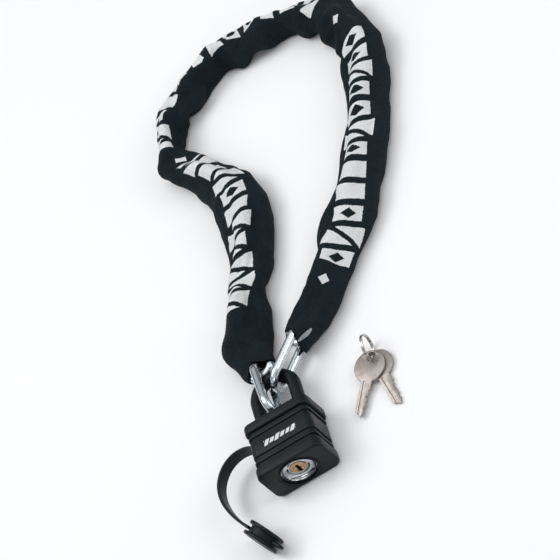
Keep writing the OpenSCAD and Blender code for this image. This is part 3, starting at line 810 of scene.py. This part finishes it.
def sleeve_grid(steps):
    """The settled sleeve's grid in metres, with each point's place along and across the flat cut."""
    pivots = chain_pivots()
    start = pivots[0] - LEFT_TAIL * heading_vector(LEFT_HEADING)
    end = np.array(RIGHT_GRIP[:2]) + RIGHT_MOUTH * heading_vector(RIGHT_HEADING)
    route, gone = smooth_route(np.vstack([start, pivots, end]), 1.0)
    pivot_at = np.array([gone[np.argmin(np.linalg.norm(route - p, axis=1))] for p in pivots])
    length = gone[-1]
    ring_at = np.linspace(0, length, int(round(length / RING_STEP)) + 1)
    index = np.interp(ring_at, pivot_at, np.arange(len(pivots)))
    # Past the first and last pivots the index goes on, at one for each 30 mm
    after = np.maximum(ring_at - pivot_at[-1], 0) / 30
    before = np.maximum(pivot_at[0] - ring_at, 0) / 30
    index = index + after - before
    share = np.interp(index, *zip(*GIRTH_AT))
    girth = GIRTH * share
    turn = np.arange(SIDES) / SIDES
    angle = math.tau * turn[None, :]

    # Both mouths are cut on a slant, so the places along the cut differ round them
    fade = 22
    left_slant = np.exp(-ring_at / fade)[:, None] * (-2.5 - 3.5 * np.cos(angle))
    right_slant = np.exp(-(length - ring_at) / fade)[:, None] * (-0.5 + 8.0 * np.cos(angle))
    along = ring_at[:, None] + left_slant + right_slant

    x = strung_rings(route, gone, along, share, angle)
    x = settle(x, along, girth, link_frames(pivots), steps)
    x = wrinkled(x, np.interp(index, BUNCHED_AT, (0, 1, 1, 0)))
    middle_of_print = np.interp(index, *zip(*PRINT_AT))
    return x * MM, along * MM, girth * MM, middle_of_print, pivot_at * MM


def make_sleeve(shader):
    x, along, girth, middle_of_print, _ = SLEEVE
    rings, sides = along.shape
    faces = tube_faces(rings, sides)
    sleeve = piece("woven_sleeve", x.reshape(-1, 3), faces, shader, "sleeve_fabric", "chain")
    layer = sleeve.data.uv_layers.new(name="cloth")
    for polygon in sleeve.data.polygons:
        rows = [divmod(v, sides) for v in polygon.vertices]
        turns = [j / sides - middle_of_print[i] for i, j in rows]
        shift = round(turns[0])
        for loop, (i, j), turn in zip(polygon.loop_indices, rows, turns):
            near_turn = turn - shift
            near_turn += round(turns[0] - shift - near_turn)
            layer.data[loop].uv = (along[i, j], near_turn * girth[i])
    thick = sleeve.modifiers.new("cloth", "SOLIDIFY")
    thick.thickness = CLOTH * MM
    thick.offset = 0
    thick.use_even_offset = False
    smooth = sleeve.modifiers.new("smooth", "SUBSURF")
    smooth.levels = smooth.render_levels = 1
    apply_modifiers(sleeve)
    sleeve.data.shade_smooth()
    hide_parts("chain_sleeve")


WARP_PITCH, WEFT_PITCH = 0.00105, 0.00090
PRINT_PITCH, PRINT_HALF_HEIGHT, PRINT_SLANT = 0.0172, 0.0142, 0.22
# Each run of blocks: first and last pivot, and its seed. Each dot: its pivot and metres off the middle
PRINT_RUNS = ((1.45, 6.25, 3.0), (7.1, 12.4, 17.0), (13.9, 19.55, 31.0))
PRINT_DOTS = ((6.55, 0.002), (13.4, 0.004), (19.85, 0.004))
DOT_SIZE = 0.0042
SLIT_PIVOT, SLIT_PAST, SLIT_HALF_LENGTH, SLIT_HALF_WIDTH = 21, 0.0115, 0.0075, 0.0014


def make_fabric():
    """Black woven nylon with a row of worn white slanted blocks printed along it."""
    pivot_at = SLEEVE[-1]
    shader = Shader("sleeve_fabric", (0.012, 0.02, 0.023), 0.85, Specular_IOR_Level=0.2)

    def place(pivot):
        """How far along the sleeve a pivot of the chain lies."""
        return float(np.interp(pivot, np.arange(len(pivot_at)), pivot_at))

    cloth = shader.node("UVMap", uv_map="cloth").outputs[0]
    split = shader.node("SeparateXYZ")
    shader.put(split.inputs[0], cloth)
    along, across = split.outputs[0], split.outputs[1]

    # The weave: two families of threads, each over and under the other
    warp = shader.math("SINE", shader.math("MULTIPLY", along, math.tau / WARP_PITCH))
    weft = shader.math("SINE", shader.math("MULTIPLY", across, math.tau / WEFT_PITCH))
    weave = shader.math("MULTIPLY", warp, weft)
    threads = shader.math("ADD", shader.math("MULTIPLY", weave, 0.5), 0.5)

    ragged = shader.noise(900, 3, 0.6)
    fray = shader.math("MULTIPLY", shader.math("SUBTRACT", ragged, 0.5), 0.0016)
    frayed_along = shader.math("ADD", along, fray)
    frayed_across = shader.math("ADD", across, fray)
    mask = 0.0
    for first, last, seed in PRINT_RUNS:
        row = printed_blocks(
            shader, frayed_along, frayed_across, PRINT_PITCH, PRINT_HALF_HEIGHT, PRINT_SLANT, seed,
        )
        row = shader.math("MULTIPLY", row, between(shader, along, place(first), place(last)))
        mask = shader.math("MAXIMUM", mask, row)
    for spot, side in PRINT_DOTS:
        off_along = shader.math("ABSOLUTE", shader.math("SUBTRACT", frayed_along, place(spot)))
        off_across = shader.math("ABSOLUTE", shader.math("SUBTRACT", frayed_across, side))
        near = shader.math("LESS_THAN", shader.math("ADD", off_along, off_across), DOT_SIZE)
        mask = shader.math("MAXIMUM", mask, near)

    # A slit near the right mouth shows bright metal
    off_along = shader.math("SUBTRACT", along, place(SLIT_PIVOT) + SLIT_PAST)
    slit_along = shader.math("DIVIDE", off_along, SLIT_HALF_LENGTH)
    slit_across = shader.math("DIVIDE", shader.math("ADD", across, 0.001), SLIT_HALF_WIDTH)
    slit_along = shader.math("MULTIPLY", slit_along, slit_along)
    slit_across = shader.math("MULTIPLY", slit_across, slit_across)
    slit = shader.math("LESS_THAN", shader.math("ADD", slit_along, slit_across), 1)
    worn = shader.spread(shader.noise(2600, 2, 0.7), 0.72, 1.0, 0.35, 0.5)
    ink = shader.math("MULTIPLY", mask, worn)
    base = shader.mix(threads, (0.0028, 0.0072, 0.0098), (0.0095, 0.0175, 0.0225))
    dusty = shader.spread(shader.noise(70, 4), 0, 0.5, 0.45, 0.75)
    base = shader.mix(dusty, base, (0.0125, 0.0225, 0.028))
    white = shader.mix(threads, (0.78, 0.81, 0.83), (0.97, 0.98, 0.98))
    printed = shader.mix(ink, base, white)
    shader.colour(shader.mix(slit, printed, (0.50, 0.53, 0.55)))
    shader.put(shader.surface.inputs["Metallic"], slit)
    shader.roughness(shader.spread(shader.noise(500, 2), 0.78, 0.92))
    shader.bump(weave, 0.00016)
    shader.bump(shader.noise(230, 3, 0.6), 0.0014, 0.9)
    shader.bump(shader.noise(85, 2), 0.0034, 0.8)
    return shader


SLEEVE = sleeve_grid(70)
make_sleeve(make_fabric())


# ---- strap and keyway cap ----

STRAP_Z = 15
STRAP_ROUTE = (
    (-26, 12.4), (-29, 14.8), (-34, 16.4), (-40, 16.6), (-46.5, 14.5), (-52.5, 10), (-57, 3), (-59, -5),
    (-58.7, -13.5), (-56.3, -22.5), (-52.7, -31), (-49, -37.5), (-46.5, -41.3), (-44.8, -43.7),
)
CAP_CENTRE = (-38.8, -52.4, 13.2)
CAP_HEADING = math.radians(-56.4)


def make_strap():
    """The rubber ribbon, its corners round, on a smooth route with a barrel at its root."""
    route, _ = smooth_route(STRAP_ROUTE, 1.2)
    tangent = np.gradient(route, axis=0)
    tangent /= np.linalg.norm(tangent, axis=1, keepdims=True)
    outline = rounded_rectangle(2, 10, 0.6, 4)
    vertices = [
        (at[0] - t[1] * u, at[1] + t[0] * u, STRAP_Z + z)
        for at, t in zip(route, tangent) for u, z in outline
    ]
    strap = piece("rubber_strap", scaled(vertices), rings_to_faces(len(route), len(outline)), rubber,
                  "strap_rubber", "cap")
    turn_outwards(strap)
    carve(strap, [upright_bar(STRAP_ROOT, STRAP_LOW, STRAP_HIGH, 1.6)], "UNION")
    strap.data.shade_smooth()
    sharp_edges(strap, 40)
    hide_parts("cap_strap")


def make_cap():
    """A rubber plug: two round-edged flanges on a neck, with rings on its faces and a pull tab."""
    half = [(0, 10.5), (2.2, 10.5), (2.7, 11)]
    half += arc((3.4, 12.3), 0.7, 180, 90, 4) + arc((4.4, 12.3), 0.7, 90, 0, 4)
    half += [(5.1, 9.6), (4.6, 9.0), (4.6, 6.4), (5.0, 6.0), (5.0, 0.05)]
    profile = [(-a, r) for a, r in reversed(half)] + half[1:]
    shape = lathe([(a * MM, r * MM) for a, r in profile], 96)
    c, s = math.cos(CAP_HEADING), math.sin(CAP_HEADING)
    at = Vector(CAP_CENTRE) * MM
    stand = Matrix(((s, c, 0, at.x), (-c, s, 0, at.y), (0, 0, 1, at.z), (0, 0, 0, 1)))
    cap = piece("rubber_keyway_cap", *placed(shape, stand), rubber, "strap_rubber", "cap")
    turn_outwards(cap)
    tab = []
    for reach, inset in ((9.5, 0), (16.6, 0), (17.6, 0.25), (18.2, 0.65), (18.5, 1.2)):
        outline = rounded_rectangle(2.8 - 0.9 * inset, 5 - 2 * inset, 1.1 - 0.7 * inset / 1.2, 4)
        tab += [(u, reach, z) for u, z in outline]
    sides = len(tab) // 5
    tab_shape = placed((scaled(tab), rings_to_faces(5, sides)), stand)
    carve(cap, [tab_shape], "UNION")
    cap.data.shade_smooth()
    sharp_edges(cap, 40)
    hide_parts("keyway_cap")


make_strap()
make_cap()


# ---- keys and split ring ----

KEY_EASE = 0.22
RING_R, RING_HEADING = 9.5, 80
RING_HOLE, RING_OFF = (70, 39.6), 5.7


def make_key(node):
    """A copy of a CAD key with its cut edges eased, as a blanked and plated key has."""
    source = nodes[node]
    mesh = source.data.copy()
    mesh.transform(source.matrix_world)
    key = bpy.data.objects.new("cut_" + node, mesh)
    scene.collection.objects.link(key)
    mesh.materials.clear()
    mesh.materials.append(nickel.material)
    work = bmesh.new()
    work.from_mesh(mesh)
    bmesh.ops.remove_doubles(work, verts=work.verts, dist=1e-6)
    bmesh.ops.dissolve_limit(work, angle_limit=math.radians(2), verts=work.verts, edges=work.edges)
    work.to_mesh(mesh)
    work.free()
    bevel = key.modifiers.new("ease", "BEVEL")
    bevel.width = KEY_EASE * MM
    bevel.segments = 2
    bevel.limit_method = "ANGLE"
    bevel.angle_limit = math.radians(40)
    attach(key, node)
    apply_modifiers(key)
    key.data.shade_smooth()
    sharp_edges(key, 35)
    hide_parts(node)


def make_ring():
    """Two turns of flat wire pressed together, stepping across from one turn to the other."""
    thick, wide, turns, steps = 1.3, 2.2, 2, 120
    at = Vector((*(np.array(RING_HOLE) + RING_OFF * heading_vector(RING_HEADING)), RING_R)) * MM
    ahead, side = Vector((*heading_vector(RING_HEADING), 0)), Vector((0, 0, 1))
    axle = ahead.cross(side)
    outline = rounded_rectangle(thick, wide / 2 - 0.04, 0.3, 3)
    vertices = []
    for i in range(steps * turns + 1):
        angle = math.tau * i / steps + 0.9
        lift = (1 / (1 + math.exp(-(i - steps * turns / 2) / 6)) - 0.5) * wide / 2
        for u, w in outline:
            reach = RING_R - thick / 2 + u
            out = ahead * math.cos(angle) + side * math.sin(angle)
            vertices.append(at + (out * reach + axle * (w + lift)) * MM)
    ring = piece("coiled_ring", vertices, rings_to_faces(steps * turns + 1, len(outline)), ring_steel,
                 "ring_steel", "key_ring")
    turn_outwards(ring)
    ring.data.shade_smooth()
    sharp_edges(ring, 50)
    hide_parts("split_ring")


make_key("key_a")
make_key("key_b")
make_ring()


# ---- floor ----

def make_floor():
    shader = Shader("floor_paper", (0.93, 0.93, 0.935), 0.7)
    shader.surface.inputs["Specular IOR Level"].default_value = 0.2
    mesh = bpy.data.meshes.new("floor")
    mesh.from_pydata([(-6, -6, 0), (6, -6, 0), (6, 6, 0), (-6, 6, 0)], [], [(0, 1, 2, 3)])
    mesh.materials.append(shader.material)
    floor = bpy.data.objects.new("floor", mesh)
    scene.collection.objects.link(floor)


make_floor()
